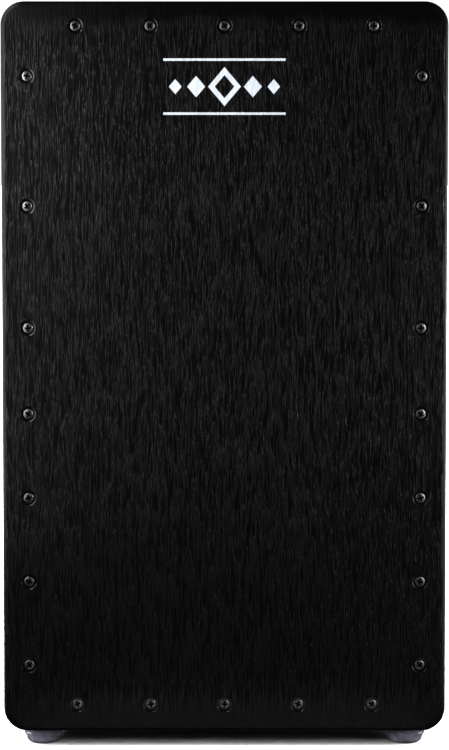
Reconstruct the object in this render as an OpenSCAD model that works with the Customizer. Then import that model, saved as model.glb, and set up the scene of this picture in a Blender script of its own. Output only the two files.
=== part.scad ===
// Snare cajon: a box drum of wooden panels with a thin screwed-on playing board (tapa),
// a sound hole in the back, four rubber feet and a hinged snare bar inside.
// Frame: +Z up, the playing board faces -Y, and the origin is on the floor, below the
// centre of the box.

/* [Box] */
// Width of the box
body_w = 300; // [290:5:320]
// Depth of the box, from the playing board to the back panel
body_d = 300; // [280:5:320]
// Height of the box without its feet
body_h = 493.5; // [483:0.5:508]
// Radius of the four box corners, as seen from the front
corner_r = 16; // [14:1:20]
// Thickness of the seat, bottom and side panels
panel_t = 12; // [11:0.5:13]

/* [Playing board] */
// Thickness of the playing board
tapa_t = 3; // [2.8:0.1:3.5]
// Distance from the side edges to each column of screws
column_inset = 17.5; // [17:0.5:19]
// Distance from the top edge to the top row of screws
top_row_inset = 16.5; // [16:0.5:19]
// Distance from the bottom edge to the bottom row of screws
low_row_inset = 18.5; // [17:0.5:19]
// Screws along the top edge, and as many along the bottom
row_screws = 5; // [3:1:5]
// Depth of the pocket that holds the printed mark
mark_t = 0.2; // [0.2:0.05:0.4]

/* [Back] */
// Thickness of the back panel
back_t = 5; // [4:0.5:6]
// Diameter of the sound hole
sound_hole_d = 115; // [100:5:125]
// Height of the sound hole's centre above the floor
sound_hole_z = 258; // [240:2:270]

/* [Battens] */
// Width and depth of the square battens behind both boards
batten = 20; // [18:1:22]
// Legs of the triangular corner blocks
corner_block_leg = 20; // [16:1:24]

/* [Feet] */
// Height of a foot
foot_h = 11.5; // [11:0.5:13]
// Diameter of a foot's upper flange
foot_d = 27; // [25:1:29]
// Distance from the sides to a foot's centre
foot_side_inset = 25.5; // [24:0.5:30]
// Distance from the front and rear edges to a foot's centre
foot_end_inset = 24.5; // [22:0.5:28]

/* [Snare] */
// Height of the snare bar's hinge axis above the floor
hinge_z = 330; // [320:2:340]
// Length of the free snare wires
wire_len = 112; // [100:2:114]
// Outer diameter of a coiled snare wire
wire_d = 2.4; // [2:0.1:2.6]
// Number of wires in each of the two sets
wires_per_set = 10; // [6:1:10]
// Angle that each set leans outward
snare_lean = 16; // [8:1:18]
// Travel of the snare bar away from the playing board, in degrees
snare_travel = 10; // [8:1:12]

/* [Hidden] */
$fn = 48;

// Planes of the box
front_y = -body_d / 2;
back_y = body_d / 2;
shell_front_y = front_y + tapa_t;
shell_back_y = back_y - back_t;
body_top = foot_h + body_h;
inner_x = body_w / 2 - panel_t;
inner_low = foot_h + panel_t;
inner_top = body_top - panel_t;
front_batten_back_y = shell_front_y + batten;
rear_batten_front_y = shell_back_y - batten;
batten_x = inner_x - batten;

// Screws of the playing board
tapa_head_d = 6.6;
tapa_dish_d = 11;
tapa_dish_depth = 0.8;
tapa_shank_d = 3;
tapa_sink_depth = tapa_dish_depth + (tapa_head_d - tapa_shank_d) / 2 - 0.08;
tapa_screw_len = 18;
row_span = body_w * 2 / 3;
column_drops = [50, 137, 219, 277, 334, 391, 448];

// Screws of the back panel
back_head_d = 7;
back_shank_d = 3.5;
back_screw_len = 20;
back_row_gaps = 3;
back_column_gaps = 4;
back_column_end = 48;

// Feet
foot_cup_d = foot_d - 0.8;
foot_low_d = foot_d - 4.2;
foot_cup_h = 7.2;
foot_groove = 0.3;
foot_tread_r = 4.2;
foot_recess_d = 11;
foot_recess_h = 5.5;
washer_d = 10;
washer_t = 1;
foot_screw_d = 4;
foot_head_d = 8;
foot_head_h = 2.4;
foot_screw_len = 18;

// Snare bar, its hinge and its blocks
hinge_y = -130;
pin_d = 6;
pin_gap = 0.05;
pin_squeeze = 0.02;
block_w = 16;
bar_end_gap = 2;
bar_half_len = batten_x - block_w - bar_end_gap;
bar_depth = 20;
bar_height = 24;
felt_t = 1.7;
felt_d = 18;
block_face_x = bar_half_len + bar_end_gap;
block_front_y = shell_front_y + 3;
block_back_y = hinge_y + 22;
block_height = 50;
pin_in_bar = 25;
pin_in_block = 14;
block_screw_d = 3.5;
block_screw_head_d = 7;
block_screw_len = 30;
block_screw_dz = 17;
block_screw_y = shell_front_y + batten / 2;
stop_d = 6;
stop_gap = 0.3;
stop_up = 8;
stop_reach = 8;
stop_len = 18;
stop_back = (bar_depth / 2 + stop_d / 2 + stop_gap + stop_up * sin(snare_travel)) / cos(snare_travel);

// Snare clips and wires
bar_front_y = hinge_y - bar_depth / 2;
bar_back_y = hinge_y + bar_depth / 2;
clip_x = 46;
clip_w = 38;
clip_h = 12;
clip_t = 0.8;
clip_screw_d = 2.5;
clip_screw_dx = 14;
clip_screw_drop = 3;
wire_start = 1;
wire_pitch = 3.8;
wire_tip_gap = 0.45;
wire_rise = wire_start + wire_len;
wire_tilt = asin(
  (bar_front_y - clip_t - wire_d - (shell_front_y + wire_tip_gap)) / wire_rise);

// Lever
lever_w = 14;
lever_t = 2;
lever_up = 20;
lever_reach = 48;
lever_screw_d = 3;
lever_screw_dz = 5;
grip_wall = 2;
grip_len = 20;

// ---- Shared shapes ----

// Lays a drawing made in X and Z upright: its plane at y_front, its thickness towards +Y
module upright(y_front, thickness) {
  translate([0, y_front + thickness, 0])
    rotate([90, 0, 0])
      linear_extrude(thickness)
        children();
}

// Outline of the box from the front, with its four round corners
module box_outline() {
  difference() {
    translate([-body_w / 2, foot_h])
      square([body_w, body_h]);
    for (side = [0, 1])
      for (top = [0, 1])
        translate([(2 * side - 1) * body_w / 2, foot_h + top * body_h])
          mirror([side, 0])
            mirror([0, top])
              difference() {
                translate([-1, -1])
                  square(corner_r + 1);
                translate([corner_r, corner_r])
                  circle(r = corner_r);
              }
  }
}

// One panel of the box: the part of the outline inside a mitred strip
module box_panel(strip) {
  color([0.07, 0.07, 0.07])
    upright(shell_front_y, shell_back_y - shell_front_y)
      intersection() {
        box_outline();
        polygon(strip);
      }
}

// A round tool that runs from y_start for a length towards +Y
module bore_y(x, z, y_start, length, d) {
  translate([x, y_start, z])
    rotate([-90, 0, 0])
      cylinder(d = d, h = length);
}

// A round tool that runs from x_start for a length towards +X
module bore_x(y, z, x_start, length, d) {
  translate([x_start, y, z])
    rotate([0, 90, 0])
      cylinder(d = d, h = length);
}

// Countersunk wood screw: the head's top at 0 and the point down at -length
module wood_screw(head_d, shank_d, length, dome, turn) {
  sink = (head_d - shank_d) / 2;
  tip = shank_d * 0.9;
  slot_w = head_d * 0.13;
  slot_l = head_d * 0.56;
  slot_h = sink + dome;
  dome_r = dome > 0 ? (head_d ^ 2 / 4 + dome ^ 2) / (2 * dome) : 0;
  difference() {
    union() {
      rotate_extrude()
        polygon([
          [0, 0],
          [head_d / 2, 0],
          [shank_d / 2, -sink],
          [shank_d / 2, tip - length],
          [0, -length],
        ]);
      if (dome > 0)
        intersection() {
          translate([0, 0, dome - dome_r])
            sphere(r = dome_r);
          cylinder(d = head_d + 1, h = dome + 1);
        }
    }
    for (arm = [0, 90])
      rotate(turn + arm)
        translate([-slot_l / 2, -slot_w / 2, dome - slot_h])
          cube([slot_l, slot_w, slot_h + 1]);
  }
}

// ---- Playing board ----

row_x = [for (i = [0:row_screws - 1]) row_span * (i / (row_screws - 1) - 0.5)];
column_z = [for (drop = column_drops) body_top - drop];
tapa_points = concat(
  [for (x = row_x) [x, body_top - top_row_inset]],
  [for (x = row_x) [x, foot_h + low_row_inset]],
  [for (z = column_z) [-body_w / 2 + column_inset, z]],
  [for (z = column_z) [body_w / 2 - column_inset, z]]
);

module tapa() {
  color([0.06, 0.06, 0.06])
    difference() {
      upright(front_y, tapa_t)
        box_outline();
      for (p = tapa_points) {
        bore_y(p[0], p[1], front_y - 1, tapa_t + 2, tapa_shank_d + 0.4);
        translate([p[0], front_y, p[1]])
          rotate([-90, 0, 0])
            rotate_extrude()
              polygon([
                [0, -1],
                [tapa_dish_d / 2, -1],
                [tapa_dish_d / 2, 0],
                [tapa_head_d / 2 + 0.6, tapa_dish_depth],
                [tapa_head_d / 2 + 0.12, tapa_dish_depth],
                [tapa_shank_d / 2 + 0.2, tapa_sink_depth],
                [0, tapa_sink_depth],
              ]);
      }
      upright(front_y - 1, mark_t + 1)
        mark_outline();
    }
}

module tapa_screws() {
  color([0.25, 0.25, 0.26])
    for (i = [0:len(tapa_points) - 1])
      translate([tapa_points[i][0], front_y + tapa_dish_depth + 0.05, tapa_points[i][1]])
        rotate([90, 0, 0])
          wood_screw(tapa_head_d, tapa_shank_d, tapa_screw_len, 0.7, i * 37);
}

// A plain band of lozenges with a line above and below it
mark_w = 82;
mark_z = body_top - 57;
lozenge_w = 22;
lozenge_h = 26;
lozenge_small = 0.55;
mark_line = 1.6;
mark_line_z = 18;

module lozenge(scale_by) {
  w = lozenge_w * scale_by / 2;
  h = lozenge_h * scale_by / 2;
  polygon([[-w, 0], [0, -h], [w, 0], [0, h]]);
}

module mark_outline() {
  translate([0, mark_z]) {
    difference() {
      lozenge(1);
      lozenge(0.6);
    }
    for (side = [-1, 1]) {
      translate([side * 19, 0])
        lozenge(lozenge_small);
      translate([side * 33, 0])
        lozenge(lozenge_small * 0.7);
      translate([-mark_w / 2, side * mark_line_z - mark_line / 2])
        square([mark_w, mark_line]);
    }
  }
}

module front_mark() {
  color([0.85, 0.88, 0.92])
    upright(front_y, mark_t)
      mark_outline();
}

// ---- Box panels, mitred at the corners ----

module seat_panel() {
  box_panel([
    [-body_w / 2, body_top],
    [-inner_x, inner_top],
    [inner_x, inner_top],
    [body_w / 2, body_top],
  ]);
}

module bottom_panel() {
  difference() {
    box_panel([
      [-body_w / 2, foot_h],
      [body_w / 2, foot_h],
      [inner_x, inner_low],
      [-inner_x, inner_low],
    ]);
    for (p = foot_points)
      translate([p[0], p[1], foot_h - 1])
        cylinder(d = foot_screw_d, h = panel_t + 2);
  }
}

module side_panel(side) {
  mirror([side > 0 ? 1 : 0, 0, 0])
    box_panel([
      [-body_w / 2, foot_h],
      [-inner_x, inner_low],
      [-inner_x, inner_top],
      [-body_w / 2, body_top],
    ]);
}

module left_side() {
  side_panel(-1);
}

module right_side() {
  side_panel(1);
}

// ---- Back panel ----

back_x = [for (i = [0:back_row_gaps]) row_span * (i / back_row_gaps - 0.5)];
back_step = (body_h - 2 * back_column_end) / back_column_gaps;
back_z = [for (i = [0:back_column_gaps]) foot_h + back_column_end + i * back_step];
back_points = concat(
  [for (x = back_x) [x, body_top - column_inset]],
  [for (x = back_x) [x, foot_h + column_inset]],
  [for (z = back_z) [-body_w / 2 + column_inset, z]],
  [for (z = back_z) [body_w / 2 - column_inset, z]]
);

module back_panel() {
  sink = (back_head_d - back_shank_d) / 2;
  color([0.09, 0.09, 0.09])
    difference() {
      upright(shell_back_y, back_t)
        box_outline();
      bore_y(0, sound_hole_z, shell_back_y - 1, back_t + 2, sound_hole_d);
      for (p = back_points) {
        bore_y(p[0], p[1], shell_back_y - 1, back_t + 2, back_shank_d + 0.2);
        translate([p[0], back_y, p[1]])
          rotate([90, 0, 0])
            rotate_extrude()
              polygon([
                [0, -1],
                [back_head_d / 2 + 0.1, -1],
                [back_head_d / 2 + 0.1, 0.1],
                [back_shank_d / 2, sink + 0.2],
                [0, sink + 0.2],
              ]);
      }
    }
}

module back_screws() {
  color([0.2, 0.2, 0.21])
    for (i = [0:len(back_points) - 1])
      translate([back_points[i][0], back_y - 0.1, back_points[i][1]])
        rotate([-90, 0, 0])
          wood_screw(back_head_d, back_shank_d, back_screw_len, 0, i * 29);
}

// ---- Battens and corner blocks ----

module front_batten(from, size) {
  color([0.72, 0.58, 0.4])
    difference() {
      translate([from[0], shell_front_y, from[1]])
        cube([size[0], batten, size[1]]);
      for (p = tapa_points)
        bore_y(p[0], p[1], shell_front_y - 1, batten - 2, tapa_shank_d);
    }
}

module rear_batten(from, size) {
  color([0.72, 0.58, 0.4])
    difference() {
      translate([from[0], rear_batten_front_y, from[1]])
        cube([size[0], batten, size[1]]);
      for (p = back_points)
        bore_y(p[0], p[1], shell_back_y - batten + 2, batten, back_shank_d);
    }
}

level_size = [2 * batten_x, batten];
post_size = [batten, inner_top - inner_low];
top_from = [-batten_x, inner_top - batten];
bottom_from = [-batten_x, inner_low];
left_from = [-inner_x, inner_low];
right_from = [batten_x, inner_low];

module front_batten_top() {
  front_batten(top_from, level_size);
}

module front_batten_bottom() {
  front_batten(bottom_from, level_size);
}

module front_batten_left() {
  difference() {
    front_batten(left_from, post_size);
    block_screw_bores(-1, block_screw_d);
  }
}

module front_batten_right() {
  difference() {
    front_batten(right_from, post_size);
    block_screw_bores(1, block_screw_d);
  }
}

module rear_batten_top() {
  rear_batten(top_from, level_size);
}

module rear_batten_bottom() {
  rear_batten(bottom_from, level_size);
}

module rear_batten_left() {
  rear_batten(left_from, post_size);
}

module rear_batten_right() {
  rear_batten(right_from, post_size);
}

// Triangular block in one inner corner, between the front and the rear battens
module corner_block(side, z, up) {
  color([0.7, 0.56, 0.38])
    upright(front_batten_back_y, rear_batten_front_y - front_batten_back_y)
      polygon([
        [side * inner_x, z],
        [side * (inner_x - corner_block_leg), z],
        [side * inner_x, z + up * corner_block_leg],
      ]);
}

module corner_block_top_left() {
  corner_block(-1, inner_top, -1);
}

module corner_block_top_right() {
  corner_block(1, inner_top, -1);
}

module corner_block_bottom_left() {
  corner_block(-1, inner_low, 1);
}

module corner_block_bottom_right() {
  corner_block(1, inner_low, 1);
}

// ---- Feet ----

foot_x = body_w / 2 - foot_side_inset;
foot_y = body_d / 2 - foot_end_inset;
foot_points = [[-foot_x, -foot_y], [foot_x, -foot_y], [-foot_x, foot_y], [foot_x, foot_y]];

// Round foot: flange on top, a groove, a tapered cup with a rounded tread, and a recess
// for the washer and the screw head
module foot(index) {
  tread_points = [
    for (a = [0:15:90])
      [
        foot_low_d / 2 + foot_tread_r * (sin(a) - 1),
        foot_tread_r * (1 - cos(a)),
      ]
  ];
  translate([foot_points[index][0], foot_points[index][1], 0])
    color([0.36, 0.35, 0.4])
      difference() {
        rotate_extrude()
          polygon(concat(
            [[0, 0]],
            tread_points,
            [
              [foot_cup_d / 2, foot_cup_h],
              [foot_cup_d / 2 - foot_groove, foot_cup_h],
              [foot_cup_d / 2 - foot_groove, foot_cup_h + foot_groove],
              [foot_d / 2 - foot_groove, foot_cup_h + foot_groove],
              [foot_d / 2, foot_h],
              [0, foot_h],
            ]
          ));
        translate([0, 0, -1])
          cylinder(d = foot_recess_d, h = foot_recess_h + 1);
        cylinder(d = foot_screw_d + 0.2, h = foot_h + 1);
      }
}

module foot_front_left() {
  foot(0);
}

module foot_front_right() {
  foot(1);
}

module foot_rear_left() {
  foot(2);
}

module foot_rear_right() {
  foot(3);
}

module foot_washers() {
  color([0.7, 0.7, 0.72])
    for (p = foot_points)
      translate([p[0], p[1], foot_recess_h - washer_t])
        difference() {
          cylinder(d = washer_d, h = washer_t);
          translate([0, 0, -1])
            cylinder(d = foot_screw_d + 0.4, h = washer_t + 2);
        }
}

module foot_screws() {
  head_top = foot_recess_h - washer_t;
  point_l = 3;
  color([0.7, 0.7, 0.72])
    for (i = [0:len(foot_points) - 1])
      translate([foot_points[i][0], foot_points[i][1], head_top])
        difference() {
          rotate_extrude()
            polygon([
              [0, foot_screw_len],
              [foot_screw_d / 2, foot_screw_len - point_l],
              [foot_screw_d / 2, 0],
              [foot_head_d / 2, 0],
              [foot_head_d / 2, -foot_head_h * 0.4],
              [foot_head_d / 2 - 1, -foot_head_h],
              [0, -foot_head_h],
            ]);
          for (arm = [0, 90])
            rotate(i * 25 + arm)
              translate([-2.2, -0.5, -foot_head_h - 1])
                cube([4.4, 1, 2.6]);
        }
}

// ---- Bearings of the snare bar ----

module block_screw_bores(side, d) {
  start = side > 0 ? block_face_x - 1 : -block_face_x - block_screw_len - 1;
  for (dz = [-block_screw_dz, block_screw_dz])
    bore_x(block_screw_y, hinge_z + dz, start, block_screw_len + 2, d);
}

module bearing_block(side) {
  low_x = side > 0 ? block_face_x : -batten_x;
  sink = (block_screw_head_d - block_screw_d) / 2;
  color([0.76, 0.62, 0.44])
    difference() {
      translate([low_x, block_front_y, hinge_z - block_height / 2])
        cube([block_w, block_back_y - block_front_y, block_height]);
      bore_x(hinge_y, hinge_z, low_x - 1, block_w + 2, pin_d + 2 * pin_gap);
      bore_x(hinge_y + stop_back, hinge_z + stop_up, low_x - 1, block_w + 2, stop_d);
      block_screw_bores(side, block_screw_d);
      for (dz = [-block_screw_dz, block_screw_dz])
        translate([side * block_face_x, block_screw_y, hinge_z + dz])
          rotate([0, side * 90, 0])
            rotate_extrude()
              polygon([
                [0, -1],
                [block_screw_head_d / 2 + 0.1, -1],
                [block_screw_head_d / 2 + 0.1, 0.3],
                [block_screw_d / 2, sink + 0.4],
                [0, sink + 0.4],
              ]);
    }
}

module bearing_block_left() {
  bearing_block(-1);
}

module bearing_block_right() {
  bearing_block(1);
}

module bearing_screws() {
  color([0.72, 0.66, 0.42])
    for (side = [-1, 1])
      for (dz = [-block_screw_dz, block_screw_dz])
        translate([side * (block_face_x + 0.3), block_screw_y, hinge_z + dz])
          rotate([0, -side * 90, 0])
            wood_screw(block_screw_head_d, block_screw_d, block_screw_len, 0, 20 + dz);
}

module stop_dowels() {
  color([0.8, 0.66, 0.48])
    for (side = [-1, 1]) {
      start = side > 0 ? bar_half_len - stop_reach : -bar_half_len + stop_reach - stop_len;
      bore_x(hinge_y + stop_back, hinge_z + stop_up, start, stop_len, stop_d);
    }
}

module felt_washers() {
  color([0.5, 0.12, 0.12])
    for (side = [-1, 1]) {
      start = side > 0 ? block_face_x - felt_t : -block_face_x;
      difference() {
        bore_x(hinge_y, hinge_z, start, felt_t, felt_d);
        bore_x(hinge_y, hinge_z, start - 1, felt_t + 2, pin_d + 0.4);
      }
    }
}

// ---- Snare bar and what turns with it ----

module snare_bar() {
  color([0.78, 0.64, 0.46])
    difference() {
      translate([-bar_half_len, bar_front_y, hinge_z - bar_height / 2])
        cube([2 * bar_half_len, bar_depth, bar_height]);
      for (start = [-bar_half_len - 1, bar_half_len - pin_in_bar])
        bore_x(hinge_y, hinge_z, start, pin_in_bar + 1, pin_d - 2 * pin_squeeze);
      for (side = [-1, 1])
        on_clip(side)
          clip_screw_bores();
      lever_screw_bores();
    }
}

module pivot_pin(side) {
  length = pin_in_bar + bar_end_gap + pin_in_block;
  start = side > 0 ? bar_half_len - pin_in_bar : -bar_half_len + pin_in_bar - length;
  color([0.75, 0.75, 0.77])
    bore_x(hinge_y, hinge_z, start, length, pin_d);
}

module pivot_pin_left() {
  pivot_pin(-1);
}

module pivot_pin_right() {
  pivot_pin(1);
}

// Places a shape on one clip: X along the clip, Z up along the wires, -Y towards the board
module on_clip(side) {
  translate([side * clip_x, bar_front_y, hinge_z])
    rotate([0, side * snare_lean, 0])
      children();
}

module clip_screw_bores() {
  for (side = [-1, 1])
    bore_y(side * clip_screw_dx, -clip_screw_drop, -clip_t - 1, clip_t + 9, clip_screw_d);
}

module snare_clip(side) {
  color([0.78, 0.78, 0.8])
    on_clip(side)
      difference() {
        translate([-clip_w / 2, -clip_t, -clip_h / 2])
          cube([clip_w, clip_t, clip_h]);
        clip_screw_bores();
      }
}

module snare_clip_left() {
  snare_clip(-1);
}

module snare_clip_right() {
  snare_clip(1);
}

module snare_wires(side) {
  color([0.8, 0.8, 0.82])
    on_clip(side)
      translate([0, -clip_t - wire_d / 2, wire_start])
        rotate([wire_tilt, 0, 0])
          for (i = [0:wires_per_set - 1])
            translate([(i - (wires_per_set - 1) / 2) * wire_pitch, 0, 0])
              cylinder(d = wire_d, h = wire_len);
}

module snare_wires_left() {
  snare_wires(-1);
}

module snare_wires_right() {
  snare_wires(1);
}

module snare_clip_screws() {
  head_d = 4.6;
  head_h = 1.6;
  color([0.75, 0.75, 0.77])
    for (side = [-1, 1])
      on_clip(side)
        for (dx = [-clip_screw_dx, clip_screw_dx])
          translate([dx, -clip_t, -clip_screw_drop])
            rotate([90, 0, 0])
              difference() {
                rotate_extrude()
                  polygon([
                    [0, -8],
                    [clip_screw_d / 2, -6],
                    [clip_screw_d / 2, 0],
                    [head_d / 2, 0],
                    [head_d / 2, head_h * 0.5],
                    [head_d / 2 - 0.6, head_h],
                    [0, head_h],
                  ]);
                for (arm = [0, 90])
                  rotate(15 + arm)
                    translate([-1.3, -0.3, head_h - 1])
                      cube([2.6, 0.6, 2]);
              }
}

lever_low_z = hinge_z - lever_up / 2;

module lever_screw_bores() {
  for (dz = [-lever_screw_dz, lever_screw_dz])
    bore_y(0, hinge_z + dz + 1, bar_back_y - 12, 16, lever_screw_d);
}

// Bent steel strip: one leg on the bar's back, the other reaching back under the sound hole's height
module snare_lever() {
  color([0.6, 0.6, 0.62])
    difference() {
      union() {
        translate([-lever_w / 2, bar_back_y, lever_low_z])
          cube([lever_w, lever_t, lever_up]);
        translate([-lever_w / 2, bar_back_y, lever_low_z])
          cube([lever_w, lever_reach, lever_t]);
      }
      lever_screw_bores();
    }
}

module lever_grip() {
  start = bar_back_y + lever_reach - grip_len + grip_wall;
  color([0.1, 0.1, 0.1])
    difference() {
      translate([-lever_w / 2 - grip_wall, start, lever_low_z - grip_wall])
        cube([lever_w + 2 * grip_wall, grip_len, lever_t + 2 * grip_wall]);
      translate([-lever_w / 2, start - 1, lever_low_z])
        cube([lever_w, grip_len - grip_wall + 1, lever_t]);
    }
}

module lever_screws() {
  head_d = 5.6;
  head_h = 2;
  color([0.72, 0.72, 0.74])
    for (dz = [-lever_screw_dz, lever_screw_dz])
      translate([0, bar_back_y + lever_t, hinge_z + dz + 1])
        rotate([-90, 0, 0])
          difference() {
            rotate_extrude()
              polygon([
                [0, -13],
                [lever_screw_d / 2, -11],
                [lever_screw_d / 2, 0],
                [head_d / 2, 0],
                [head_d / 2, head_h * 0.5],
                [head_d / 2 - 0.8, head_h],
                [0, head_h],
              ]);
            for (arm = [0, 90])
              rotate(30 + arm)
                translate([-1.6, -0.4, head_h - 1.2])
                  cube([3.2, 0.8, 2]);
          }
}

tapa();
tapa_screws();
front_mark();
seat_panel();
bottom_panel();
left_side();
right_side();
back_panel();
back_screws();
front_batten_top();
front_batten_bottom();
front_batten_left();
front_batten_right();
rear_batten_top();
rear_batten_bottom();
rear_batten_left();
rear_batten_right();
corner_block_top_left();
corner_block_top_right();
corner_block_bottom_left();
corner_block_bottom_right();
foot_front_left();
foot_front_right();
foot_rear_left();
foot_rear_right();
foot_washers();
foot_screws();
bearing_block_left();
bearing_block_right();
bearing_screws();
stop_dowels();
felt_washers();
snare_bar();
pivot_pin_left();
pivot_pin_right();
snare_clip_left();
snare_clip_right();
snare_wires_left();
snare_wires_right();
snare_clip_screws();
snare_lever();
lever_grip();
lever_screws();
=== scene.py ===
"""The looks of a snare cajon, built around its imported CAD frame."""
import math

import bmesh
import bpy
import numpy as np
from mathutils import Matrix, Vector


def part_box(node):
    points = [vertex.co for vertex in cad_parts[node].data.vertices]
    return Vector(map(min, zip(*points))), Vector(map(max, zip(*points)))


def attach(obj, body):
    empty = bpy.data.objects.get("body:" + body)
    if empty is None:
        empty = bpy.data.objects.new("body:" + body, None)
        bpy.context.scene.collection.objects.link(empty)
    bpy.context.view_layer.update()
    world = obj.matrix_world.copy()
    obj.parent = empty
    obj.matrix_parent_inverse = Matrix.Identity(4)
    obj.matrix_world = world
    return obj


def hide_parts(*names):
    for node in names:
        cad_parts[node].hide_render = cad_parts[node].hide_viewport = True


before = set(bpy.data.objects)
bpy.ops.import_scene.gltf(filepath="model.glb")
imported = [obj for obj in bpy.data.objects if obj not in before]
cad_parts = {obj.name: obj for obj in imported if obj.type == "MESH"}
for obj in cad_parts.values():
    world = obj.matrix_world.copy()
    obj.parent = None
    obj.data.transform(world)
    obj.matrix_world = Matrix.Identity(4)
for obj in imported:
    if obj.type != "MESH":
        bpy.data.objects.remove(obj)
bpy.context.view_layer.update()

BOX, BAR = "box", "snare_bar"

# ---- Places that the frame gives ----

TAPA_LOW, TAPA_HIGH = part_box("tapa")
BACK_LOW, BACK_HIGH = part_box("back_panel")
BODY_LOW = TAPA_LOW.z
BODY_TOP = TAPA_HIGH.z
HALF_W = TAPA_HIGH.x
FRONT_Y = TAPA_LOW.y
SHELL_FRONT_Y = TAPA_HIGH.y
BACK_Y = BACK_HIGH.y
SHELL_BACK_Y = BACK_LOW.y
MARK_Z = sum(corner.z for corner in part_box("front_mark")) / 2

# ---- Sizes in metres ----

CORNER_R = 0.016
PANEL_T = 0.012
EDGE_ROUND = 0.003
BACK_ROUND = 0.002
# The rounding stops just short of the tapa's rear face.
TAPA_ROUND = EDGE_ROUND * 0.97
# How much wider the rounding is in the middle of a corner, as a share of its width.
CORNER_SOFTNESS = 1.2

TAPA_DISH_R = 0.0055
TAPA_DISH_DEPTH = 0.0008
TAPA_HEAD_R = 0.0033
TAPA_HOLE_R = 0.0017
BACK_HEAD_R = 0.0035
BACK_HOLE_R = 0.0018
SOUND_HOLE_R = 0.0575
SOUND_HOLE_Z = 0.258
SOUND_HOLE_LIP = 0.0018
FOOT_RECESS_R = 0.0055
FOOT_RECESS_H = 0.0055
FOOT_HOLE_R = 0.0021
WIRE_R = 0.0012
MARK_FILM = 0.00006

FOOT_CORNERS = ("front_left", "front_right", "rear_left", "rear_right")

# ---- Grain of the black wood, in metres ----

STREAK_SIZE = (0.00075, 0.013, 0.013)
RIDGE_SIZE = (0.002, 0.03, 0.03)
WANDER_SIZE = (0.03, 0.09, 0.03)
WANDER_AMOUNT = 5.0
GRAIN_RELIEF = 0.00045
# The crest colour is lighter partly for grey left in the ridges and partly as a painted sheen
# that stands in for gloss on the ridges.
PORE_BLACK = (0.0003, 0.0003, 0.0004, 1)
CREST_GREY_AND_PAINTED_SHEEN = (0.016, 0.016, 0.017, 1)
PORE_ROUGHNESS = 1.0
CREST_ROUGHNESS = 0.25
SANDED_ROUGHNESS = 0.4
# The share of the relief that sanding leaves.
SANDED_SHARE = 0.1

# ---- Camera and surroundings ----

CAMERA_DISTANCE = 2.0
CAMERA_HEIGHT = 0.3976
CAMERA_PITCH = math.radians(4.095)
CAMERA_LENS = 142.75
SENSOR = 36.0
FLOOR_REACH = 60.0
FLOOR_Z = -0.0002
WORLD_FILL = 0.048
WORLD_BACKDROP = 1.1


# ---- Small helpers ----


def new_object(name, bm, materials, smooth_angle=35):
    """Turns a bmesh into a named object with smooth shading below an angle."""
    mesh = bpy.data.meshes.new(name)
    bmesh.ops.recalc_face_normals(bm, faces=bm.faces)
    bm.to_mesh(mesh)
    bm.free()
    obj = bpy.data.objects.new(name, mesh)
    bpy.context.scene.collection.objects.link(obj)
    for material in materials:
        mesh.materials.append(material)
    shade(obj, smooth_angle)
    return obj


def shade(obj, smooth_angle):
    """Smooth faces, with sharp edges where the surface turns by more than the angle."""
    mesh = obj.data
    bm = bmesh.new()
    bm.from_mesh(mesh)
    limit = math.radians(smooth_angle)
    for face in bm.faces:
        face.smooth = True
    for edge in bm.edges:
        edge.smooth = not edge.is_manifold or edge.calc_face_angle(0.0) < limit
    bm.to_mesh(mesh)
    bm.free()


def finish_piece(obj, body, slot, *nodes):
    """Rides the piece on its body and hides the CAD nodes it stands for. The slot is not used."""
    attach(obj, body)
    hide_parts(*nodes)


def solids(node):
    """The corner points of each separate solid in a CAD node, as arrays."""
    bm = bmesh.new()
    bm.from_mesh(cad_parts[node].data)
    bmesh.ops.remove_doubles(bm, verts=bm.verts, dist=1e-6)
    groups, seen = [], set()
    for start in bm.verts:
        if start in seen:
            continue
        stack, members = [start], []
        seen.add(start)
        while stack:
            vert = stack.pop()
            members.append(tuple(vert.co))
            for edge in vert.link_edges:
                other = edge.other_vert(vert)
                if other not in seen:
                    seen.add(other)
                    stack.append(other)
        groups.append(np.array(members))
    bm.free()
    return groups


def centres(node):
    """The middle of each solid in a CAD node, sorted from left to right and bottom to top."""
    found = [Vector((points.min(0) + points.max(0)) / 2) for points in solids(node)]
    return sorted(found, key=lambda p: (round(p.x, 3), round(p.z, 3), round(p.y, 3)))


def quarter_turn(steps):
    """Angles from 0 to 90 degrees, in equal steps."""
    return [math.radians(90 * i / steps) for i in range(steps + 1)]


def bridge(bm, ring_a, ring_b):
    """Quads between two closed rings of equal length."""
    count = len(ring_a)
    for i in range(count):
        j = (i + 1) % count
        bm.faces.new((ring_a[i], ring_a[j], ring_b[j], ring_b[i]))


def revolve(bm, profile, place, turn, segments=48):
    """Spins a profile of (radius, height) points about the Z axis, then moves it to its place."""
    rings = []
    for radius, height in profile:
        if radius < 1e-9:
            rings.append([bm.verts.new(place @ turn @ Vector((0, 0, height)))])
            continue
        ring = []
        for i in range(segments):
            a = 2 * math.pi * i / segments
            point = Vector((radius * math.cos(a), radius * math.sin(a), height))
            ring.append(bm.verts.new(place @ turn @ point))
        rings.append(ring)
    for ring_a, ring_b in zip(rings, rings[1:]):
        if len(ring_a) == 1 and len(ring_b) == 1:
            continue
        if len(ring_a) == 1 or len(ring_b) == 1:
            tip, ring = (ring_a[0], ring_b) if len(ring_a) == 1 else (ring_b[0], ring_a)
            for i in range(segments):
                bm.faces.new((tip, ring[i], ring[(i + 1) % segments]))
        else:
            bridge(bm, ring_a, ring_b)


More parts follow.
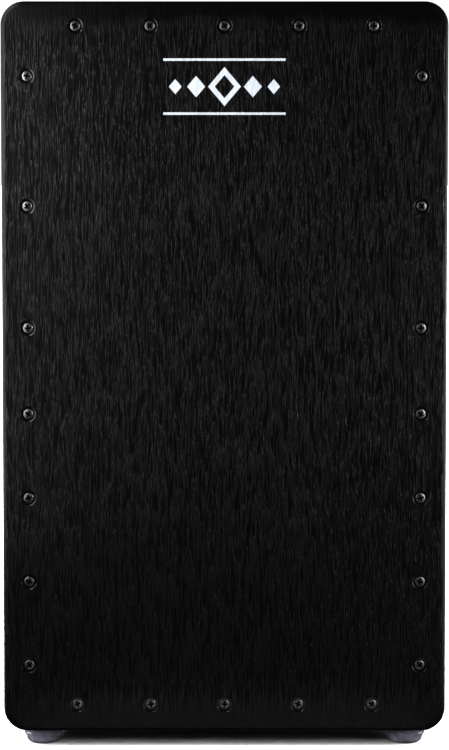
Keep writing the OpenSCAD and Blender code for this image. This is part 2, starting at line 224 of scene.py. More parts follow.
def cut(obj, bm_cutter, material=None):
    """Cuts a closed shape out of an object, and applies the result."""
    mesh = bpy.data.meshes.new("cutter")
    bmesh.ops.recalc_face_normals(bm_cutter, faces=bm_cutter.faces)
    bm_cutter.to_mesh(mesh)
    bm_cutter.free()
    if material:
        mesh.materials.append(material)
    cutter = bpy.data.objects.new("cutter", mesh)
    bpy.context.scene.collection.objects.link(cutter)
    modifier = obj.modifiers.new("cut", "BOOLEAN")
    modifier.object = cutter
    modifier.operation = "DIFFERENCE"
    modifier.solver = "EXACT"
    modifier.material_mode = "TRANSFER" if material else "INDEX"
    depsgraph = bpy.context.evaluated_depsgraph_get()
    result = bpy.data.meshes.new_from_object(obj.evaluated_get(depsgraph))
    obj.modifiers.clear()
    old = obj.data
    obj.data = result
    result.name = old.name
    bpy.data.objects.remove(cutter)
    bpy.data.meshes.remove(mesh)


FACE_FRONT = Matrix.Rotation(math.radians(90), 4, "X")
FACE_BACK = Matrix.Rotation(math.radians(-90), 4, "X")


# ---- Materials ----


class Shader:
    """A material's node tree, with short calls to add nodes and join them."""

    def __init__(self, name):
        self.material = bpy.data.materials.new(name)
        self.material.use_nodes = True
        self.tree = self.material.node_tree
        self.surface = self.tree.nodes["Principled BSDF"]

    def add(self, kind, **settings):
        """Adds a node, with its options."""
        node = self.tree.nodes.new("ShaderNode" + kind)
        for key, value in settings.items():
            setattr(node, key, value)
        return node

    def link(self, source, target):
        """Joins an output to an input."""
        self.tree.links.new(source, target)

    def feed(self, node, values):
        """Sets or links a node's inputs, by name or number."""
        for key, value in values.items():
            socket = node.inputs[key]
            if isinstance(value, bpy.types.NodeSocket):
                self.link(value, socket)
            else:
                socket.default_value = value

    def place(self, scale, axes=(0, 1, 2)):
        """The object's own coordinates, with the axes reordered and each one scaled."""
        source = self.add("TexCoord").outputs["Object"]
        split = self.add("SeparateXYZ")
        self.link(source, split.inputs[0])
        join = self.add("CombineXYZ")
        for i, axis in enumerate(axes):
            self.link(self.math("MULTIPLY", split.outputs[axis], scale[i]), join.inputs[i])
        return join.outputs[0]

    def math(self, operation, a, b=0.0, c=0.0):
        """One operation on up to three values, each a number or an output."""
        node = self.add("Math", operation=operation)
        self.feed(node, {0: a, 1: b, 2: c})
        return node.outputs[0]

    def noise(self, vector, detail=2.0, roughness=0.5, distortion=0.0):
        """Noise from 0 to 1, with cells one unit across."""
        node = self.add("TexNoise")
        self.feed(node, {"Vector": vector, "Scale": 1.0, "Detail": detail})
        self.feed(node, {"Roughness": roughness, "Distortion": distortion})
        return node.outputs[0]

    def ramp(self, value, low, high, out_low=0.0, out_high=1.0):
        """A smooth step from one value to another."""
        node = self.add("MapRange", interpolation_type="SMOOTHSTEP")
        self.feed(node, {0: value, 1: low, 2: high, 3: out_low, 4: out_high})
        return node.outputs[0]

    def blend(self, share, colour_a, colour_b):
        """A mix of two colours, by the share of the second."""
        node = self.add("Mix", data_type="RGBA")
        self.feed(node, {0: share, 6: colour_a, 7: colour_b})
        return node.outputs[2]

    def bump(self, height, strength, distance):
        """A normal for a relief this many metres deep."""
        node = self.add("Bump")
        self.feed(node, {"Height": height, "Strength": strength, "Distance": distance})
        self.feed(node, {"Filter Width": 0.2})
        return node.outputs[0]

    def shift(self, vector, amount, axis):
        """Moves a vector along one axis by an amount that varies over the surface."""
        move = self.add("CombineXYZ")
        self.link(amount, move.inputs[axis])
        total = self.add("VectorMath", operation="ADD")
        self.feed(total, {0: vector, 1: move.outputs[0]})
        return total.outputs[0]

    def stretch(self, size, axes):
        """Coordinates for a pattern whose cells are this many metres along each axis."""
        return self.place([1 / length for length in size], axes)

    def even(self, per_metre, detail=2.0, roughness=0.5):
        """Noise without a direction, with about this many spots to a metre."""
        return self.noise(self.place((per_metre,) * 3), detail=detail, roughness=roughness)

    def swing(self, value, amount):
        """Turns a value from 0 to 1 into one that swings about 0."""
        return self.math("MULTIPLY", self.math("SUBTRACT", value, 0.5), amount)

    def result(self, **values):
        """Feeds the surface's inputs, each named in lower case with underscores."""
        names = [socket.name for socket in self.surface.inputs]
        sockets = {name.lower().replace(" ", "_"): name for name in names}
        self.feed(self.surface, {sockets[key]: value for key, value in values.items()})
        return self.material


def grey(value):
    """An opaque grey."""
    return (value, value, value, 1)


def grain_height(shader, axes):
    """Relief of open-pored wood: wavy streaks across axes[0], long along axes[1]."""
    wander = shader.noise(shader.stretch(WANDER_SIZE, axes), detail=1.5)
    drift = shader.swing(wander, WANDER_AMOUNT)
    fine = shader.shift(shader.stretch(STREAK_SIZE, axes), drift, 0)
    streaks = shader.noise(fine, detail=1.0, distortion=0.1)
    broad = shader.shift(shader.stretch(RIDGE_SIZE, axes), drift, 0)
    ridges = shader.noise(broad, detail=1.0)
    height = shader.math("MULTIPLY_ADD", streaks, 0.8, shader.math("MULTIPLY", ridges, 0.2))
    return shader.ramp(height, 0.41, 0.61)


def end_fade(shader):
    """1 over the board, falling where sanding has smoothed its edges and ends."""
    split = shader.add("SeparateXYZ")
    shader.link(shader.add("TexCoord").outputs["Object"], split.inputs[0])
    across = shader.math("ABSOLUTE", split.outputs[0])
    rim = HALF_W - EDGE_ROUND
    sides = shader.ramp(across, rim - 0.0004, rim + 0.0006, 1.0, SANDED_SHARE)
    sway = shader.swing(shader.even(40.0, detail=3.0), 0.02)
    level = shader.math("ADD", split.outputs[2], sway)
    upper = shader.ramp(level, BODY_TOP - 0.024, BODY_TOP - 0.008, 1.0, SANDED_SHARE)
    lower = shader.ramp(level, BODY_LOW + 0.010, BODY_LOW + 0.030, SANDED_SHARE, 1.0)
    return shader.math("MULTIPLY", sides, shader.math("MULTIPLY", upper, lower))


def black_grain(name, axes, strength=1.0, fades=False):
    """Black-stained, brushed, open-pored wood, its crests painted a lighter grey: partly grey
    left in the ridges, partly a painted sheen.
    """
    shader = Shader(name)
    height = grain_height(shader, axes)
    rough = shader.ramp(height, 0.1, 0.7, PORE_ROUGHNESS, CREST_ROUGHNESS)
    if fades:
        fade = end_fade(shader)
        height = shader.math("MULTIPLY", height, fade)
        extra = shader.math("SUBTRACT", rough, SANDED_ROUGHNESS)
        rough = shader.math("MULTIPLY_ADD", fade, extra, SANDED_ROUGHNESS)
    # The crests get the lighter colour: partly grey in the ridges, partly painted sheen.
    cloud = shader.noise(shader.place((12.0, 5.0, 12.0), axes), detail=3.0)
    tone = shader.math("MULTIPLY", height, shader.ramp(cloud, 0.3, 0.7, 0.5, 1.0))
    return shader.result(
        base_color=shader.blend(tone, PORE_BLACK, CREST_GREY_AND_PAINTED_SHEEN),
        roughness=rough,
        normal=shader.bump(height, strength, GRAIN_RELIEF),
        specular_ior_level=0.28,
    )


def lacquer(name):
    """Smooth black lacquer, as in the dish around each screw."""
    shader = Shader(name)
    flow = shader.even(900.0)
    return shader.result(
        base_color=shader.blend(flow, (0.0008, 0.0008, 0.0009, 1), (0.002, 0.002, 0.0022, 1)),
        roughness=shader.ramp(flow, 0.3, 0.7, 0.16, 0.28),
        normal=shader.bump(flow, 0.25, 0.0001),
    )


def wood(name, tones, axes, ring=0.004):
    """Planed, unpainted wood: light and dark growth lines along axes[1], this far apart."""
    light, dark = tones
    shader = Shader(name)
    waves = shader.noise(shader.stretch((0.05, 0.3, 0.05), axes))
    lines = shader.shift(shader.stretch((ring, 0.12, ring), axes), shader.swing(waves, 6.0), 0)
    growth = shader.noise(lines, detail=3.0, roughness=0.6)
    pores = shader.noise(shader.stretch((0.0004, 0.006, 0.0004), axes), detail=1.0)
    colour = shader.blend(shader.ramp(growth, 0.3, 0.72), light, dark)
    return shader.result(
        base_color=shader.blend(shader.ramp(pores, 0.62, 0.75, 0.0, 0.45), colour, dark),
        roughness=shader.ramp(growth, 0.2, 0.8, 0.49, 0.63),
        normal=shader.bump(shader.math("MULTIPLY_ADD", growth, 0.4, pores), 0.25, 0.0002),
    )


def shade_of(colour, factor):
    """The same colour, darker or paler."""
    return tuple(factor * channel for channel in colour[:3]) + (1,)


def metal(name, colour, rough):
    """Plated or bare metal with fine wear marks."""
    shader = Shader(name)
    marks = shader.even(1 / 0.0006, detail=3.0)
    patch = shader.ramp(shader.even(90.0), 0.35, 0.7)
    return shader.result(
        base_color=shader.blend(patch, colour, shade_of(colour, 0.72)),
        metallic=1.0,
        roughness=shader.ramp(marks, 0.2, 0.8, rough * 0.7, rough * 1.4),
        normal=shader.bump(marks, 0.08, 0.00005),
    )


def rubber(name, colour, rough):
    """Matt rubber, a little uneven in tone."""
    shader = Shader(name)
    grit = shader.even(2500.0)
    patch = shader.ramp(shader.even(60.0), 0.35, 0.7)
    return shader.result(
        base_color=shader.blend(patch, colour, shade_of(colour, 1.5)),
        roughness=shader.ramp(grit, 0.3, 0.7, rough - 0.08, rough + 0.08),
        normal=shader.bump(grit, 0.2, 0.0001),
    )


def smoky_foot(name):
    """Glossy, smoky, half-clear rubber."""
    shader = Shader(name)
    haze = shader.ramp(shader.even(140.0, detail=3.0), 0.3, 0.7)
    scuffs = shader.even(900.0)
    return shader.result(
        base_color=shader.blend(haze, (0.09, 0.087, 0.115, 1), (0.19, 0.184, 0.24, 1)),
        roughness=shader.ramp(scuffs, 0.3, 0.75, 0.06, 0.16),
        transmission_weight=0.15,
        ior=1.45,
        coat_weight=1.0,
        normal=shader.bump(scuffs, 0.06, 0.0001),
    )


def felt(name):
    """Red felt with fine fibres."""
    shader = Shader(name)
    fibres = shader.even(3000.0, detail=4.0, roughness=0.7)
    return shader.result(
        base_color=shader.blend(fibres, (0.18, 0.01, 0.012, 1), (0.42, 0.05, 0.05, 1)),
        roughness=shader.ramp(fibres, 0.2, 0.8, 0.85, 1.0),
        sheen_weight=0.4,
        normal=shader.bump(fibres, 0.7, 0.0004),
    )


def print_white(name):
    """White screen print that follows the grain under it."""
    shader = Shader(name)
    height = grain_height(shader, FRONT_AXES)
    return shader.result(
        base_color=shader.blend(height, (0.62, 0.68, 0.77, 1), (0.76, 0.83, 0.92, 1)),
        roughness=shader.ramp(height, 0.1, 0.9, 0.6, 0.42),
        normal=shader.bump(height, 0.3, 0.00035),
    )


# Each triple starts with the axis across the grain and the axis along it.
FRONT_AXES = (0, 2, 1)
SIDE_AXES = (1, 2, 0)
LEVEL_AXES = (1, 0, 2)
RAIL_AXES = (2, 0, 1)
BLOCK_AXES = (0, 1, 2)
PLY_TONES = ((0.52, 0.38, 0.23, 1), (0.38, 0.25, 0.14, 1))
BOARD_TONES = ((0.55, 0.41, 0.26, 1), (0.40, 0.27, 0.15, 1))
PINE_TONES = ((0.60, 0.43, 0.25, 1), (0.42, 0.27, 0.14, 1))
BLOCK_TONES = ((0.57, 0.41, 0.24, 1), (0.40, 0.26, 0.14, 1))
BEECH_TONES = ((0.52, 0.33, 0.19, 1), (0.36, 0.21, 0.11, 1))
MATERIALS = {
    "tapa": black_grain("tapa_black", FRONT_AXES, fades=True),
    "dish": lacquer("dish_black"),
    "shell_side": black_grain("side_black", SIDE_AXES, 0.6),
    "shell_level": black_grain("seat_black", LEVEL_AXES, 0.6),
    "ply_side": wood("ply_side", PLY_TONES, SIDE_AXES, 0.009),
    "ply_level": wood("ply_level", PLY_TONES, LEVEL_AXES, 0.009),
    "ply_front": wood("ply_front", BOARD_TONES, FRONT_AXES, 0.009),
    "post": wood("post_wood", PINE_TONES, FRONT_AXES),
    "rail": wood("rail_wood", PINE_TONES, RAIL_AXES),
    "block": wood("block_wood", BLOCK_TONES, BLOCK_AXES),
    "beech": wood("beech_wood", BEECH_TONES, RAIL_AXES, 0.0025),
    "nickel": metal("dark_nickel", (0.3, 0.3, 0.31, 1), 0.36),
    # The cross recesses get a near-black metal: painted shade in the recesses of the nickel screw
    # heads.
    "recess": metal("recess_black", grey(0.008), 0.6),
    "zinc": metal("zinc_plate", (0.55, 0.56, 0.58, 1), 0.28),
    "steel": metal("snare_steel", (0.58, 0.58, 0.59, 1), 0.22),
    "foot": smoky_foot("smoky_rubber"),
    "grip": rubber("grip_rubber", grey(0.02), 0.55),
    "felt": felt("red_felt"),
    "print": print_white("white_print"),
}


# ---- The box ----


def outline(inset, corner_steps=16):
    """Points (x, z) of the box outline from the front, moved inwards by an inset.

    The inset grows towards the middle of each corner, where the real edge is sanded softer.
    """
    points = []
    for quarter, (sx, sz) in enumerate(((1, 1), (-1, 1), (-1, -1), (1, -1))):
        x = sx * (HALF_W - CORNER_R)
        z = BODY_TOP - CORNER_R if sz > 0 else BODY_LOW + CORNER_R
        for turn in quarter_turn(corner_steps):
            a = turn + math.radians(90 * quarter)
            radius = CORNER_R - inset * (1 + CORNER_SOFTNESS * math.sin(2 * a) ** 2)
            points.append((x + radius * math.cos(a), z + radius * math.sin(a)))
    return points


def add_ring(bm, y, inset):
    """The box outline as a ring of points at one depth."""
    return [bm.verts.new((x, y, z)) for x, z in outline(inset)]


def board(name, y_outer, y_inner, rounding, materials):
    """A board with the box's outline, its outer edge rounded and its inner edge square."""
    side = 1 if y_inner > y_outer else -1
    steps = 8
    land = 0.0003
    bm = bmesh.new()
    rings = [add_ring(bm, y_inner, 0.0)]
    for a in quarter_turn(steps):
        inset = rounding * (1 - math.cos(a))
        rings.append(add_ring(bm, y_outer + side * rounding * (1 - math.sin(a)), inset))
    rings.append(add_ring(bm, y_outer, rounding + land))
    for ring_a, ring_b in zip(rings, rings[1:]):
        bridge(bm, ring_a, ring_b)
    bm.faces.new(rings[-1])
    inner = bm.faces.new(rings[0])
    inner.material_index = 1
    return new_object(name, bm, materials)


def dish_profile(dish_r, dish_depth, seat_r, hole_r, depth):
    """Profile of a dished countersink, from below the board to above its face."""
    sink = seat_r - hole_r
    mouth_r = dish_r + 0.0002
    above = 0.001
    profile = [(0, -depth), (hole_r, -depth), (hole_r, -dish_depth - sink)]
    for a in quarter_turn(8):
        radius = seat_r + (dish_r - seat_r) * math.sin(a)
        profile.append((radius, -dish_depth * math.cos(a)))
    return profile + [(mouth_r, 0.0002), (mouth_r, above), (0, above)]


def build_tapa():
    """The playing board, with a dished seat for every screw."""
    thickness = SHELL_FRONT_Y - FRONT_Y
    faces = [MATERIALS["tapa"], MATERIALS["ply_front"]]
    obj = board("playing_board", FRONT_Y, SHELL_FRONT_Y, TAPA_ROUND, faces)
    cutter = bmesh.new()
    seat_r = TAPA_HEAD_R + 0.0003
    depth = thickness + 0.001
    profile = dish_profile(TAPA_DISH_R, TAPA_DISH_DEPTH, seat_r, TAPA_HOLE_R, depth)
    for centre in centres("tapa_screws"):
        place = Matrix.Translation((centre.x, FRONT_Y, centre.z))
        revolve(cutter, profile, place, FACE_FRONT)
    cut(obj, cutter, MATERIALS["dish"])
    shade(obj, 35)
    finish_piece(obj, BOX, "black_tapa", "tapa")


def sound_hole_profile(thickness):
    """Profile of the sound hole's cutter, which leaves a rounded lip on both faces."""
    lip = SOUND_HOLE_LIP
    wide = SOUND_HOLE_R + lip
    above = 0.001
    below = -thickness - 0.001
    outer = []
    for a in quarter_turn(8):
        outer.append((SOUND_HOLE_R + lip * (1 - math.cos(a)), -lip * (1 - math.sin(a))))
    inner = [(radius, -thickness - height) for radius, height in reversed(outer)]
    return [(0, below), (wide, below)] + inner + outer + [(wide, above), (0, above)]


def build_back():
    """The back panel, with its screw seats and a sound hole that has softened edges."""
    thickness = BACK_Y - SHELL_BACK_Y
    faces = [MATERIALS["tapa"], MATERIALS["ply_front"]]
    obj = board("rear_board", BACK_Y, SHELL_BACK_Y, BACK_ROUND, faces)
    cutter = bmesh.new()
    dish_r = BACK_HEAD_R + 0.0002
    seat_r = BACK_HEAD_R + 0.0001
    profile = dish_profile(dish_r, 0.0001, seat_r, BACK_HOLE_R, thickness + 0.001)
    for centre in centres("back_screws"):
        place = Matrix.Translation((centre.x, BACK_Y, centre.z))
        revolve(cutter, profile, place, FACE_BACK)
    place = Matrix.Translation((0, BACK_Y, SOUND_HOLE_Z))
    revolve(cutter, sound_hole_profile(thickness), place, FACE_BACK, 128)
    cut(obj, cutter)
    shade(obj, 35)
    finish_piece(obj, BOX, "black_back", "back_panel")


def panel_section(level, sign):
    """Outline of one mitred panel in (x, z), outer points first, then the inner face."""
    steps = 12
    mid_z = (BODY_LOW + BODY_TOP) / 2
    half_h = (BODY_TOP - BODY_LOW) / 2
    reach, side = (HALF_W, half_h) if level else (half_h, HALF_W)
    points = []
    for end in (-1, 1):
        arc = []
        for i in range(steps + 1):
            a = math.radians(45 * i / steps)
            along = reach - CORNER_R + CORNER_R * math.sin(a)
            out = side - CORNER_R + CORNER_R * math.cos(a)
            arc.append((end * along, out))
        points += list(reversed(arc)) if end < 0 else arc
    points += [(reach - PANEL_T, side - PANEL_T), (PANEL_T - reach, side - PANEL_T)]
    if level:
        return [(a, mid_z + sign * b) for a, b in points]
    return [(sign * b, mid_z + a) for a, b in points]


def build_panel(name, node, level, sign):
    """One mitred panel of the box: black outside, bare wood on its inner face and its mitres."""
    bm = bmesh.new()
    points = panel_section(level, sign)
    rings = []
    for y in (SHELL_FRONT_Y, SHELL_BACK_Y):
        rings.append([bm.verts.new((x, y, z)) for x, z in points])
    bridge(bm, rings[0], rings[1])
    lining = len(points) - 2
    bm.faces.ensure_lookup_table()
    for i in (lining - 1, lining, lining + 1):
        bm.faces[i].material_index = 1
    bm.faces.new(rings[0])
    bm.faces.new(rings[1])
    kinds = ("shell_level", "ply_level") if level else ("shell_side", "ply_side")
    obj = new_object(name, bm, [MATERIALS[kind] for kind in kinds])
    finish_piece(obj, BOX, "black_ply", node)


# ---- Screws ----


def cross_cutter(width, length, depth, top):
    """A closed cross shape that narrows downwards, for a cross recess."""
    bm = bmesh.new()
    half = width / 2
    arm = length / 2
    floor_scale = 0.45
    plan = [
        (half, half), (half, arm), (-half, arm), (-half, half), (-arm, half), (-arm, -half),
        (-half, -half), (-half, -arm), (half, -arm), (half, -half), (arm, -half), (arm, half),
    ]
    upper = [bm.verts.new((x, y, top + 0.001)) for x, y in plan]
    mouth = [bm.verts.new((x, y, top - depth * 0.25)) for x, y in plan]
    lower = [bm.verts.new((x * floor_scale, y * floor_scale, top - depth)) for x, y in plan]
    bridge(bm, upper, mouth)
    bridge(bm, mouth, lower)
    bm.faces.new(upper)
    bm.faces.new(lower)
    return bm


def screw_mesh(head_r, shank_r, length, dome, recess):
    """A countersunk cross-recess wood screw: its head's edge at 0 and its point down."""
    sink = head_r - shank_r
    tip = shank_r * 1.8
    rim_drop = 0.00008 + 0.02 * sink
    profile = [(0, -length), (shank_r, tip - length), (shank_r, -sink)]
    profile.append((head_r * 0.985, -rim_drop))
    for a in quarter_turn(10):
        profile.append((head_r * math.cos(a), dome * math.sin(a)))
    bm = bmesh.new()
    revolve(bm, profile, Matrix.Identity(4), Matrix.Identity(4), 48)
    obj = new_object("screw_form", bm, [MATERIALS["nickel"]])
    cross = cross_cutter(recess * 0.3, recess, recess * 0.42, dome)
    # The recess faces take the near-black material: painted shade.
    cut(obj, cross, MATERIALS["recess"])
    mesh = obj.data
    bpy.data.objects.remove(obj)
    return mesh


def screw_group(name, node, form, face, y, turn_step):
    """One object that holds every screw of a group, each turned by its own amount."""
    bm = bmesh.new()
    for i, centre in enumerate(centres(node)):
        place = Matrix.Translation((centre.x, y, centre.z)) @ face
        turn = Matrix.Rotation(math.radians(turn_step * (i + 1)), 4, "Z")
        start = len(bm.verts)
        bm.from_mesh(form)
        bm.verts.ensure_lookup_table()
        bmesh.ops.transform(bm, matrix=place @ turn, verts=bm.verts[start:])
    # The second material is the painted shade in the cross recesses.
    obj = new_object(name, bm, [MATERIALS["nickel"], MATERIALS["recess"]], 30)
    finish_piece(obj, BOX, "dark_nickel", node)


# ---- Feet ----


def foot_recess(lip=0.0006):
    """Profile of the recess that hides the foot's screw, from its roof down to the tread."""
    radius = FOOT_RECESS_R
    roof = FOOT_RECESS_H
    return [
        (FOOT_HOLE_R, roof), (radius - lip, roof), (radius, roof - lip), (radius, lip),
        (radius + lip * 0.3, lip * 0.3), (radius + lip, 0),
    ]


def foot_wall(flange_r, top):
    """Profile of the outside: rounded tread, tapered cup, shallow groove and flange."""
    tread_r = 0.0042
    low_r = flange_r - 0.0021
    cup_r = flange_r - 0.0004
    cup_z = 0.0072
    profile = []
    for a in quarter_turn(8):
        profile.append((low_r + tread_r * (math.sin(a) - 1), tread_r * (1 - math.cos(a))))
    return profile + [
        (cup_r - 0.0002, cup_z - 0.0006), (cup_r - 0.0001, cup_z - 0.0002),
        (cup_r - 0.0003, cup_z), (cup_r - 0.0004, cup_z + 0.00015),
        (cup_r - 0.0003, cup_z + 0.0003), (flange_r - 0.0004, cup_z + 0.0005),
        (flange_r - 0.0003, cup_z + 0.0009), (flange_r, top - 0.0004), (flange_r - 0.0004, top),
    ]


def build_foot(name, node):
    """One foot, which the screw holds through its hole."""
    low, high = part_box(node)
    centre = (low + high) / 2
    top = high.z
    flange_r = (high.x - low.x) / 2
    hole = [(FOOT_HOLE_R, top), (FOOT_HOLE_R, FOOT_RECESS_H)]
    profile = foot_recess() + foot_wall(flange_r, top) + hole
    bm = bmesh.new()
    revolve(bm, profile, Matrix.Translation((centre.x, centre.y, 0)), Matrix.Identity(4), 96)
    bmesh.ops.remove_doubles(bm, verts=bm.verts, dist=1e-7)
    obj = new_object(name, bm, [MATERIALS["foot"]], 40)
    finish_piece(obj, BOX, "smoky_rubber", node)


# ---- The snare's wires ----


def rod_ends(points):
    """The two end centres of a straight rod, from the points on its surface."""
    middle = points.mean(0)
    _, _, axes = np.linalg.svd(points - middle)
    along = (points - middle) @ axes[0]
    ends = [points[np.abs(along - edge) < 1e-5].mean(0) for edge in (along.min(), along.max())]
    return [Vector(end) for end in sorted(ends, key=lambda p: p[2])]


def add_coil(bm, start, end, outer_r):
    """A coiled wire between two points."""
    wire_r = 0.00024
    turns = 62
    per_turn = 10
    sides = 5
    axis = (end - start).normalized()
    u = axis.orthogonal().normalized()
    v = axis.cross(u)
    coil_r = outer_r - wire_r
    length = (end - start).length
    count = turns * per_turn
    rings = []
    for i in range(count + 1):
        a = 2 * math.pi * i / per_turn
        share = i / count
        radial = u * math.cos(a) + v * math.sin(a)
        centre = start + axis * (length * share) + radial * coil_r
        ring = []
        for k in range(sides):
            b = 2 * math.pi * k / sides
            spoke = radial * math.cos(b) + axis * math.sin(b)
            ring.append(bm.verts.new(centre + spoke * wire_r))
        rings.append(ring)
    for ring_a, ring_b in zip(rings, rings[1:]):
        bridge(bm, ring_a, ring_b)
    bm.faces.new(rings[0])
    bm.faces.new(rings[-1])


def build_wires(name, node):
    """One set of coiled snare wires, where the CAD node has plain rods."""
    bm = bmesh.new()
    for points in solids(node):
        start, end = rod_ends(points)
        add_coil(bm, start, end, WIRE_R)
    obj = new_object(name, bm, [MATERIALS["steel"]], 80)
    finish_piece(obj, BAR, "snare_steel", node)


# ---- The printed mark ----


def add_patch(bm, loop):
    """A thin printed shape on the board, from its outline in (x, z) about the mark's centre."""
    front = [bm.verts.new((x, FRONT_Y - MARK_FILM, MARK_Z + z)) for x, z in loop]
    back = [bm.verts.new((x, FRONT_Y + MARK_FILM, MARK_Z + z)) for x, z in loop]
    bridge(bm, front, back)
    bm.faces.new(front)
    bm.faces.new(back)


def lozenge(x, half_w, half_h):
    """Outline of a lozenge on the mark's middle line."""
    return [(x - half_w, 0), (x, -half_h), (x + half_w, 0), (x, half_h)]


def stripe(z, half_w, half_h):
    """Outline of a level line, above or below the lozenges."""
    low = z - half_h
    high = z + half_h
    return [(-half_w, low), (half_w, low), (half_w, high), (-half_w, high)]


def build_mark():
    """A plain band of lozenges between two lines, printed on the board."""
    bm = bmesh.new()
    outer = lozenge(0, 0.011, 0.013)
    inner = lozenge(0, 0.0066, 0.0078)
    for i in range(4):
        j = (i + 1) % 4
        add_patch(bm, [outer[i], outer[j], inner[j], inner[i]])
    for side in (-1, 1):
        add_patch(bm, lozenge(side * 0.019, 0.00605, 0.00715))
        add_patch(bm, lozenge(side * 0.033, 0.00424, 0.005))
        add_patch(bm, stripe(side * 0.018, 0.041, 0.0008))
    obj = new_object("printed_mark", bm, [MATERIALS["print"]])
    finish_piece(obj, BOX, "print_white", "front_mark")


# ---- CAD nodes that keep their shape ----

CAD_FINISH = {
    "front_batten_top": "rail", "front_batten_bottom": "rail",
    "front_batten_left": "post", "front_batten_right": "post",
    "rear_batten_top": "rail", "rear_batten_bottom": "rail",
    "rear_batten_left": "post", "rear_batten_right": "post",
    "corner_block_top_left": "block", "corner_block_top_right": "block",
    "corner_block_bottom_left": "block", "corner_block_bottom_right": "block",
    "foot_washers": "zinc", "foot_screws": "zinc",
    "bearing_block_left": "beech", "bearing_block_right": "beech",
    "bearing_screws": "zinc", "stop_dowels": "beech", "felt_washers": "felt",
    "snare_bar": "beech", "pivot_pin_left": "zinc", "pivot_pin_right": "zinc",
    "snare_clip_left": "steel", "snare_clip_right": "steel", "snare_clip_screws": "zinc",
    "snare_lever": "steel", "lever_grip": "grip", "lever_screws": "zinc",
}


def dress_cad_nodes():
    """Gives every CAD node that stays visible its material."""
    for node, finish in CAD_FINISH.items():
        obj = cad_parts[node]
        obj.data.materials.clear()
        obj.data.materials.append(MATERIALS[finish])


# ---- Stage ----


def build_floor():
    """A wide pale floor that the gloss of the object doesn't mirror."""
    bm = bmesh.new()
    reach = FLOOR_REACH
    corners = [(-reach, -reach), (reach, -reach), (reach, reach), (-reach, reach)]
    bm.faces.new([bm.verts.new((x, y, FLOOR_Z)) for x, y in corners])
    shader = Shader("pale_floor")
    tone = shader.blend(shader.even(40.0), grey(0.86), grey(0.88))
    material = shader.result(base_color=tone, roughness=0.9)
    floor = new_object("floor", bm, [material])
    floor.visible_glossy = False
    floor.visible_diffuse = False


def aim(obj, place, target):
    """Puts a light in its place and turns it towards a point."""
    obj.location = place
    obj.rotation_euler = (Vector(target) - Vector(place)).to_track_quat("-Z", "Y").to_euler()
    bpy.context.scene.collection.objects.link(obj)


def limit_light(light, only, never):
    """Keeps a light off some pieces, or on some alone, as a flag on a stand does in a studio."""
    if not (only or never):
        return
    group = bpy.data.collections.new("linked_to_" + light.name)
    for name in only or never:
        group.objects.link(bpy.data.objects[name])
    light.light_linking.receiver_collection = group
    for item in group.collection_objects:
        item.light_linking.link_state = "INCLUDE" if only else "EXCLUDE"


def area_light(name, place, target, size, power, only=(), never=()):
    """A soft rectangular light of this width and height."""
    data = bpy.data.lights.new(name, "AREA")
    data.shape = "RECTANGLE"
    data.size, data.size_y = size
    data.energy = power
    obj = bpy.data.objects.new(name, data)
    obj.visible_camera = False
    aim(obj, place, target)
    limit_light(obj, only, never)


def sun(name, place, angle, energy, only=(), never=()):
    """A wide, soft light from one direction."""
    data = bpy.data.lights.new(name, "SUN")
    data.angle = math.radians(angle)
    data.energy = energy
    obj = bpy.data.objects.new(name, data)
    aim(obj, place, (0, 0, 0))
    limit_light(obj, only, never)


FLOOR = ("floor",)
FRONT_PIECES = ("playing_board", "board_screws", "printed_mark")
FOOT_PIECES = tuple("pad_" + corner for corner in FOOT_CORNERS)


def light_sky():
    """Wide light from above, on the floor and on every side but the front."""
    sun("ceiling", (0, -0.15, 1.4), 54, 5.0, never=FRONT_PIECES)
    sun("front_sky", (0, -1.0, 1.0), 57, 6.0, only=FLOOR)
    sun("left_sky", (-1.0, -0.3, 0.85), 34, 8.0, only=FLOOR)
    sun("right_sky", (1.0, -0.3, 0.85), 34, 8.0, only=FLOOR)


def front_strip(name, place, target, size, power):
    """A light aimed at a point on the front, given in (x, z)."""
    area_light(name, place, (target[0], FRONT_Y, target[1]), size, power)


def light_front():
    """Strips close to the front's sides, which rake its grain."""
    key = (0.08, 0.25)
    near = (0.05, 0.16)
    rim = (0.03, 0.4)
    front_strip("left_key", (-0.62, -0.54, 0.52), (-0.12, 0.38), key, 0.2)
    front_strip("left_low_key", (-0.62, -0.54, 0.25), (-0.12, 0.2), key, 0.22)
    front_strip("right_low_key", (0.62, -0.54, 0.22), (0.12, 0.2), key, 0.57)
    front_strip("left_high", (-0.22, -0.27, 0.43), (-0.12, 0.43), near, 0.165)
    front_strip("left_mid", (-0.22, -0.27, 0.27), (-0.12, 0.27), near, 0.06)
    front_strip("left_rim", (-0.2, -0.19, 0.33), (-0.14, 0.33), rim, 0.08)
    front_strip("right_rim", (0.2, -0.19, 0.25), (0.14, 0.25), rim, 0.035)


def light_edges():
    """Lights for the front's rounded edges, its lowest band and its upper left corner."""
    for name, side, power in (("left_edge", -1, 4.0), ("right_edge", 1, 5.5)):
        target = (side * 0.15, -0.147, 0.3)
        area_light(name, (side * 0.9, -0.115, 0.3), target, (0.06, 0.45), power, never=FLOOR)
    low_place = (0, -0.21, 0.004)
    area_light("low_card", low_place, (0, FRONT_Y, 0.02), (0.3, 0.04), 0.012, never=FLOOR)
    area_light("corner_card", (-0.5, -0.32, 0.8), (-0.14, FRONT_Y, 0.49), (0.15, 0.15), 1.1)


def light_details():
    """Small lights for the screws, the printed mark and the feet alone."""
    glint_place = (0.62, -0.54, 0.5)
    glint_target = (0.1, FRONT_Y, 0.3)
    area_light("screw_card", glint_place, glint_target, (0.08, 0.25), 2.2, only=("board_screws",))
    card_place = (-0.5, -1.1, 0.4)
    card_pieces = ("printed_mark",) + FOOT_PIECES
    area_light("front_card", card_place, (0, FRONT_Y, 0.2), (0.35, 0.35), 12, only=card_pieces)
    for name, x in (("left_foot_card", -0.4), ("right_foot_card", 0.4)):
        area_light(name, (x, -0.1, 0.025), (0, FRONT_Y, 0), (0.2, 0.04), 0.5, only=FOOT_PIECES)


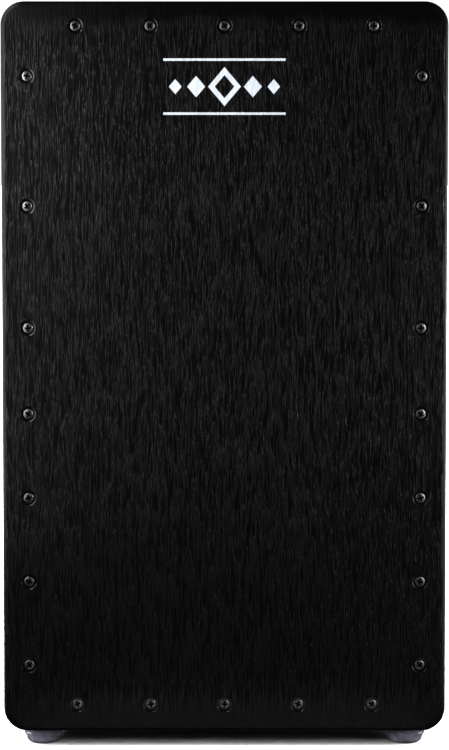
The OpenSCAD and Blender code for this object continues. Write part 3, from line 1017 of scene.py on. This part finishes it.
def light_walls():
    """Large lights for the sides and the back."""
    for name, place in (
        ("left_wall", (-1.3, 0.35, 0.75)),
        ("right_wall", (1.3, 0.35, 0.75)),
        ("rear_wall", (0.35, 1.4, 0.8)),
    ):
        area_light(name, place, (0, 0, 0.25), (0.7, 0.9), 22, never=FRONT_PIECES + FLOOR)


def build_world():
    """White to the camera, and a dim even fill for everything else."""
    world = bpy.data.worlds.new("studio")
    bpy.context.scene.world = world
    world.use_nodes = True
    tree = world.node_tree
    backdrop = tree.nodes["Background"]
    backdrop.inputs["Color"].default_value = grey(1.0)
    path = tree.nodes.new("ShaderNodeLightPath")
    strength = tree.nodes.new("ShaderNodeMapRange")
    strength.inputs["To Min"].default_value = WORLD_FILL
    strength.inputs["To Max"].default_value = WORLD_BACKDROP
    tree.links.new(path.outputs["Is Camera Ray"], strength.inputs["Value"])
    tree.links.new(strength.outputs[0], backdrop.inputs["Strength"])


def build_camera():
    """The camera: straight on to the front, slightly above it and looking slightly down."""
    data = bpy.data.cameras.new("camera")
    data.sensor_width = SENSOR
    data.lens = CAMERA_LENS
    data.clip_end = 50
    obj = bpy.data.objects.new("camera", data)
    obj.location = (0, FRONT_Y - CAMERA_DISTANCE, CAMERA_HEIGHT)
    obj.rotation_euler = (math.radians(90) - CAMERA_PITCH, 0, 0)
    bpy.context.scene.collection.objects.link(obj)
    bpy.context.scene.camera = obj


# ---- Build everything ----

build_camera()
build_tapa()
build_back()
build_panel("top_seat", "seat_panel", True, 1)
build_panel("base_board", "bottom_panel", True, -1)
build_panel("side_left", "left_side", False, -1)
build_panel("side_right", "right_side", False, 1)

oval_screw = screw_mesh(
    head_r=TAPA_HEAD_R, shank_r=0.0015, length=0.018, dome=0.0008, recess=0.0045
)
oval_y = FRONT_Y + TAPA_DISH_DEPTH + 0.00005
screw_group("board_screws", "tapa_screws", oval_screw, FACE_FRONT, oval_y, 37)
flat_screw = screw_mesh(
    head_r=BACK_HEAD_R, shank_r=0.00175, length=0.02, dome=0.00015, recess=0.0045
)
flat_y = BACK_Y - 0.00025
screw_group("rear_screws", "back_screws", flat_screw, FACE_BACK, flat_y, 29)

for corner in FOOT_CORNERS:
    build_foot("pad_" + corner, "foot_" + corner)
for side in ("left", "right"):
    build_wires("coils_" + side, "snare_wires_" + side)
build_mark()
dress_cad_nodes()
build_floor()
light_sky()
light_front()
light_edges()
light_details()
light_walls()
build_world()
bpy.context.scene.view_settings.view_transform = "Standard"
